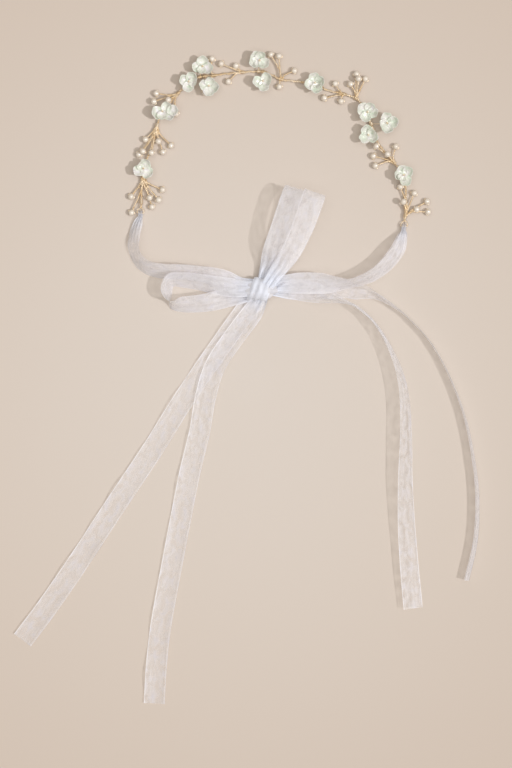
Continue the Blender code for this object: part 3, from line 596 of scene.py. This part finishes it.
# stations: x, y and z of the ribbon's middle, then the bearing and the rise of the line across it in degrees
# (None lies square to the route), and the share of its full width where it is gathered
leftStrapRoute = [
    (-68.3, 95.2, 2.6, 5, 25, 0.40), (-70.2, 88.2, 4.4, 5, 50, 0.75), (-71.0, 80.3, 6.1, 5, 58, 1.0),
    (-68.6, 72.9, 6.2, 35, 58, 1.0), (-62.4, 67.3, 5.9, 62, 54, 1.0), (-53.0, 65.0, 5.6, 84, 50, 1.0),
    (-39.4, 64.4, 5.5, 90, 48, 1.0), (-27.0, 62.8, 5.3, 90, 42, 1.0), (-14.6, 59.4, 5.4, 88, 14, 0.95),
    (-5.3, 56.0, 4.4, 88, 2, 0.82), (5.0, 55.5, 4.3, 88, 0, 0.7),
]
rightStrapRoute = [
    (95.3, 86.8, 3.0, 172, 28, 0.45), (92.1, 78.2, 5.2, 157, 45, 0.9), (85.9, 70.0, 5.7, 137, 50, 1.0),
    (78.2, 63.4, 7.0, 120, 56, 1.0), (69.6, 59.2, 7.6, 106, 64, 1.0), (61.0, 57.0, 7.8, 96, 66, 1.0),
    (52.4, 56.7, 8.7, 90, 42, 1.0), (43.6, 57.4, 8.1, 88, 13, 1.0), (31.9, 57.6, 6.2, 88, 0, 1.0),
    (22.0, 57.0, 4.9, 88, 0, 0.85), (12.0, 56.0, 4.5, 88, 0, 0.7),
]
leftLoopRoute = [
    (5.0, 53.0, 2.5, 90, 0, 0.7), (-3.4, 50.6, 2.3, 90, 0, 0.8), (-12.7, 48.8, 2.4, 90, 3, 0.9),
    (-27.0, 45.4, 4.8, 90, 34, 1.0), (-39.4, 44.4, 5.6, 93, 44, 1.0), (-48.0, 45.4, 7.0, 114, 66, 1.0),
    (-50.8, 53.2, 6.6, 180, 60, 1.0), (-48.0, 59.6, 6.4, 128, 54, 1.0), (-40.6, 59.8, 5.9, 95, 46, 1.0),
    (-30.1, 58.4, 5.8, 90, 42, 1.0), (-17.7, 56.0, 6.4, 90, 24, 0.95), (-6.5, 54.4, 6.3, 90, 4, 0.85),
    (4.0, 54.5, 6.3, 90, 0, 0.7),
]
upperLoopRoute = [
    (9.2, 56.0, 3.2, -17, 0, 0.62), (12.2, 66.5, 2.4, -17, 0, 0.8), (14.6, 77.0, 2.0, -17, 0, 0.92),
    (19.8, 91.0, 2.0, -17, 0, 0.98), (24.4, 105.0, 3.6, -17, 0, 1.0), (27.6, 113.6, 8.0, -17, 0, 1.0),
    (28.8, 116.0, 13.0, -17, 8, 0.96), (27.5, 113.0, 17.4, -17, 16, 1.0), (25.0, 106.0, 19.4, -17, 21, 1.02),
    (20.4, 92.0, 18.5, -17, 20, 1.0), (15.0, 77.5, 12.6, -17, 0, 0.92), (12.2, 67.0, 5.6, -17, 0, 0.8),
    (9.2, 56.0, 4.8, -17, 0, 0.62),
]
sideLoopRoute = [
    (11.4, 56.0, 6.4, -25, 0, 0.62), (19.2, 67.0, 7.0, -25, 0, 0.8), (26.2, 77.0, 5.6, -25, 0, 0.95),
    (33.4, 92.0, 3.6, -25, 0, 1.04), (37.6, 103.4, 4.8, -24, 0, 1.08), (40.2, 110.8, 9.0, -22, 0, 1.08),
    (41.0, 113.2, 13.8, -21, 0, 1.02), (40.0, 110.4, 17.6, -22, 12, 1.08), (37.9, 103.9, 19.6, -24, 15, 1.08),
    (33.5, 92.0, 18.9, -25, 14, 1.04), (26.4, 77.0, 14.8, -25, 0, 0.95), (19.4, 67.0, 9.6, -25, 0, 0.8),
    (11.4, 56.0, 8.0, -25, 0, 0.62),
]
tails = {
    "tail_1": {"length": 262, "bow": 2.0, "route": [
        (8.0, 52.0, 2.2, -34, 0, 0.5), (3.6, 47.4, 1.2, -34, 0, 0.8), (-1.1, 41.9, 0.4, -34, 0, 1.0),
        (-35.8, -7.7, 0.35, -34, 0, 1.0), (-59.4, -45.2, 0.35, None, 0, 1.0), (-82.3, -79.6, 0.35, None, 0, 1.0),
        (-105.0, -114.3, 0.35, None, 0, 1.0), (-124.7, -142.9, 0.35, None, 0, 1.0),
        (-138.0, -160.6, 0.35, -36, 0, 1.0)]},
    "tail_2": {"length": 268, "bow": 2.0, "route": [
        (10.0, 52.0, 3.2, -28, 0, 0.5), (6.0, 45.6, 2.2, -28, 0, 0.8), (1.4, 38.1, 1.4, -30, 0, 1.0),
        (-10.2, 22.6, 1.4, -34, 0, 1.0), (-20.8, 6.0, 1.4, None, 0, 1.0), (-26.6, -13.0, 1.4, None, 0, 1.0),
        (-30.0, -33.0, 1.3, None, 0, 1.0), (-33.6, -48.0, 0.7, None, 0, 1.0), (-37.7, -66.0, 0.35, None, 0, 1.0),
        (-47.1, -115.0, 0.35, None, 0, 1.0), (-54.2, -154.1, 0.35, None, 0, 1.0),
        (-57.0, -178.9, 0.35, None, 0, 1.0), (-58.3, -201.0, 0.35, -2, 0, 1.0)]},
    "tail_3": {"length": 251, "bow": 0.4, "route": [
        (14.0, 54.0, 2.6, 270, 0, 0.6), (31.9, 53.4, 2.4, 270, 0, 1.0), (44.3, 51.0, 4.2, 268, 25, 1.0),
        (53.6, 48.2, 6.6, 265, 55, 0.95), (61.1, 45.6, 7.0, 255, 78, 0.9), (67.9, 42.2, 6.6, 240, 82, 0.85),
        (77.8, 33.2, 6.0, 228, 82, 0.85), (86.5, 19.2, 5.8, 210, 76, 0.85), (93.3, 2.8, 5.7, 198, 64, 0.9),
        (96.6, -14.6, 5.4, 186, 56, 0.95), (97.3, -39.4, 5.2, 180, 50, 1.0), (96.9, -64.2, 4.7, 180, 42, 1.0),
        (97.6, -89.0, 3.6, 182, 32, 1.0), (99.2, -113.8, 2.9, 184, 24, 1.0),
        (101.5, -139.0, 2.6, 186, 20, 1.0)]},
    "tail_4": {"length": 264, "bow": 0.0, "route": [
        (14.0, 54.0, 0.9, 270, 0, 0.6), (31.9, 54.0, 0.4, 270, 0, 1.0), (58.6, 54.4, 0.4, 270, 0, 0.85),
        (66.7, 53.0, 1.4, 268, 10, 0.8), (74.0, 51.6, 2.8, 262, 30, 0.7), (81.5, 48.6, 3.4, 250, 56, 0.55),
        (90.2, 43.1, 3.4, 238, 70, 0.5), (99.5, 35.6, 3.4, 230, 78, 0.5), (113.2, 20.2, 3.4, 214, 78, 0.5),
        (125.6, -2.8, 3.4, 203, 76, 0.5), (134.9, -29.5, 3.4, 196, 70, 0.5), (140.6, -62.0, 3.4, 187, 64, 0.5),
        (141.6, -84.6, 3.3, 180, 60, 0.5), (140.0, -104.0, 3.2, 172, 56, 0.5),
        (135.4, -124.0, 3.1, 165, 54, 0.5)]},
}
knotCentre = (9.6, 54.9)
ribbonPlan = {"width": 13.0, "across": 16, "step": 0.9, "pleats": 3.0, "pleatDepth": 0.22, "knotCrowd": 0.34,
              "knotReach": 15, "gatherCrowd": 0.3, "crease": 173, "lowest": 0.06, "atEyelet": 2.7, "apart": 0.32,
              "bight": 0.72}


def stationRows(route):
    # each station as a place, the line across the ribbon and its width there
    rows = []
    for k, (x, y, z, bearing, rise, share) in enumerate(route):
        if bearing is None:
            before, after = route[max(k - 1, 0)], route[min(k + 1, len(route) - 1)]
            bearing = math.degrees(math.atan2(after[1] - before[1], after[0] - before[0])) + 90
        turn, lift = math.radians(bearing), math.radians(rise)
        rows.append((x, y, z, math.cos(lift) * math.cos(turn), math.cos(lift) * math.sin(turn), math.sin(lift),
                     share * ribbonPlan["width"]))
    return rows


def ribbonRows(route, length=None):
    rows = smoothRoute(stationRows(route), ribbonPlan["step"])
    return rows if length is None else evenSteps(rows, ribbonPlan["step"], length)


def squareUp(rows):
    # each row's line across made square to the route, and the ribbon's normal
    lines = []
    for row, ahead in zip(rows, headings(rows)):
        across = unit(row[3:6] - ahead * (row[3:6] @ ahead))
        lines.append((across, np.cross(across, ahead)))
    return lines


def layRibbon(name, rows, surface, nodes, bow, ripple, seed, creased=False):
    # rows hold a place, a line across and a width; the cloth bows, ripples and pleats about them
    full = ribbonPlan["width"]
    columns, count = ribbonPlan["across"], len(rows) - 1
    along = routeLengths(rows)
    lines = squareUp(rows)
    bm = bmesh.new()
    bmesh.ops.create_grid(bm, x_segments=columns, y_segments=count, size=1)
    flat = bm.loops.layers.uv.new("ribbonUv")
    crowding = bm.verts.layers.float.new("crowding")
    for face in bm.faces:
        for loop in face.loops:
            j = round((loop.vert.co.y + 1) / 2 * count)
            loop[flat].uv = ((loop.vert.co.x + 1) / 2, along[j] / full + seed)
    for vert in bm.verts:
        t = vert.co.x
        j = round((vert.co.y + 1) / 2 * count)
        across, normal = lines[j]
        width = rows[j][6]
        share = min(1.0, width / full)
        fromKnot = math.hypot(rows[j][0] - knotCentre[0], rows[j][1] - knotCentre[1])
        vert[crowding] = ribbonPlan["knotCrowd"] * math.exp(-(fromKnot / ribbonPlan["knotReach"]) ** 2)
        if not creased:
            vert[crowding] += ribbonPlan["gatherCrowd"] * (1 - share)
        s = along[j]
        soft = noise.noise(Vector((t * 0.8, s * 0.09, seed)))
        soft += 0.3 * noise.noise(Vector((t * 1.8, s * 0.25, seed + 9)))
        gather = math.sqrt(max(0.0, 1 - share * share))
        pleat = gather * ribbonPlan["pleatDepth"] * full / ribbonPlan["pleats"] * math.sin(
            math.pi * ribbonPlan["pleats"] * t + 1.3 * noise.noise(Vector((s * 0.08, seed, 2.0))) + seed)
        if creased:
            # one half turned over onto the other along the middle, as far as the share of the width says
            fold = math.radians(ribbonPlan["crease"]) * min(1.0, max(0.0, (1 - share) / 0.5))
            half = full / 2 * abs(t)
            aside = half if t > 0 else -half * math.cos(fold)
            above = 0.0 if t > 0 else half * math.sin(fold)
            shift = -full / 4 * (1 - math.cos(fold)) / 2
            place = rows[j][:3] + across * (aside + shift) + normal * (above + ripple * soft * abs(t))
        else:
            edgeLift = bow * t * t * (0.6 + 0.9 * noise.noise(Vector((s * 0.05, math.copysign(1, t), seed))))
            place = rows[j][:3] + across * width / 2 * t + normal * (pleat + ripple * soft) + up * edgeLift
        place[2] = max(place[2], ribbonPlan["lowest"])
        vert.co = Vector(place)
    piece = finishPiece(name, bm, surface, "ribbon_bow", nodes)


def offsetRows(rows, gaps):
    moved = rows.copy()
    for k, (across, normal) in enumerate(squareUp(rows)):
        moved[k, :3] = rows[k, :3] + normal * gaps[k]
    return moved


def doubledStrap(name, node, eyelet, line, route, seed):
    # one ribbon from the knot to the eyelet, round its bar and back
    bar, outward = eyelet
    lead = [(*(bar + outward * d), *line, ribbonPlan["atEyelet"]) for d in (0.75, 2.6)]
    rows = smoothRoute(lead + stationRows(route), ribbonPlan["step"])
    gaps = [ribbonPlan["apart"] + 0.3 * math.exp(-s / 3) + 0.12 * noise.noise(Vector((s * 0.07, seed, 0)))
            for s in routeLengths(rows)]
    near, far = offsetRows(rows, gaps), offsetRows(rows, [-g for g in gaps])
    middle = rows[0, :3] - outward * 0.75
    bight = []
    for a in np.linspace(0, math.pi, 9)[1:-1]:
        spoke = math.cos(a) * unit(near[0, :3] - rows[0, :3]) - math.sin(a) * outward
        bight.append([*(middle + spoke * ribbonPlan["bight"]), *rows[0, 3:6], ribbonPlan["atEyelet"]])
    whole = np.vstack([near[::-1], np.array(bight), far])
    layRibbon(name, whole, organzaLoose, [node], 0.0, 0.16, seed)


doubledStrap("leftStrap", "left_strap", eyelets[0], hingeLine, leftStrapRoute, 1.0)
doubledStrap("rightStrap", "right_strap", eyelets[1], -hingeLine, rightStrapRoute, 2.0)

loopRows = ribbonRows(leftLoopRoute)
gaps = [-0.5 - 0.25 * noise.noise(Vector((k * 0.06, 0, 4))) for k in range(len(loopRows))]
for name, node, rows, ripple, seed in (
        ("leftLoopOuter", "left_loop", loopRows, 0.25, 3.0),
        ("leftLoopInner", "left_loop", offsetRows(loopRows, gaps), 0.25, 4.0),
        ("upperLoop", "upper_loop", ribbonRows(upperLoopRoute), 0.3, 5.0),
        ("sideLoop", "side_loop", ribbonRows(sideLoopRoute), 0.3, 6.0)):
    layRibbon(name, rows, organzaLoose, [node], 0.0, ripple, seed)
for number, (name, plan) in enumerate(tails.items()):
    creased = name == "tail_4"
    layRibbon("ribbonTail" + name[-1], ribbonRows(plan["route"], plan["length"]), organzaFull if creased else organza,
              [name], plan["bow"], 0.14, 7.0 + number, creased)
print("stage: ribbon")


# the knot

knotPlan = {"folds": 5.0, "depth": 0.064, "core": 0.84, "square": 0.86, "wide": 1.3, "flat": 0.92,
            "aside": (-1.6, -1.0, 0.0), "slant": 2.52, "turns": 1.04, "start": 2.2, "turnShare": 0.93,
            "turnReach": (0.9, 0.88)}


def squared(c):
    # a ball's coordinate moved out towards a box's
    return math.copysign(abs(c) ** knotPlan["square"], c)


low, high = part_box("bow_knot")
middle = [(a + b) / 2 / mm + shift for a, b, shift in zip(low, high, knotPlan["aside"])]
half = [(b - a) / 2 / mm for a, b in zip(low, high)]
bm = bmesh.new()
bmesh.ops.create_uvsphere(bm, u_segments=64, v_segments=40, radius=1)
flat = bm.loops.layers.uv.new("ribbonUv")
for face in bm.faces:
    for loop in face.loops:
        loop[flat].uv = (0.5 + 0.3 * loop.vert.co.y, 0.7 * loop.vert.co.x)
for vert in bm.verts:
    x, y, z = vert.co
    shape = Vector([squared(c) for c in (x, y, z)])
    fold = math.sin(knotPlan["folds"] * (y * 1.5 + 0.8 * x + 0.5 * noise.noise(Vector((x * 1.2, y * 1.2, 3)))))
    swell = knotPlan["core"] * (1 + knotPlan["depth"] * fold * (1 - abs(z) ** 4))
    vert.co = Vector((middle[0] + half[0] * shape.x * swell * knotPlan["wide"],
                      middle[1] + half[1] * shape.y * swell + 0.8 * x,
                      middle[2] + half[2] * shape.z * swell * knotPlan["flat"]))
finishPiece("knotFolds", bm, organzaKnot, "ribbon_bow", ["bow_knot"])
# the ribbon's own turn round the gathered loops
turnRows = []
for a in np.arange(0, 2 * math.pi * knotPlan["turns"], 0.09):
    c, d = math.cos(a - knotPlan["start"]), math.sin(a - knotPlan["start"])
    place = (middle[0] - 0.6 + knotPlan["slant"] * c, middle[1] + half[1] * knotPlan["turnReach"][0] * squared(c),
             middle[2] + half[2] * knotPlan["turnReach"][1] * squared(d))
    turnRows.append([*place, 0.94, -0.34 * d, 0.0, knotPlan["turnShare"] * ribbonPlan["width"]])
turnRows = evenSteps(np.array(turnRows), 0.8)
layRibbon("knotTurn", turnRows, organzaLoose, ["bow_knot"], -1.3, 0.35, 12.0)
print("stage: knot")
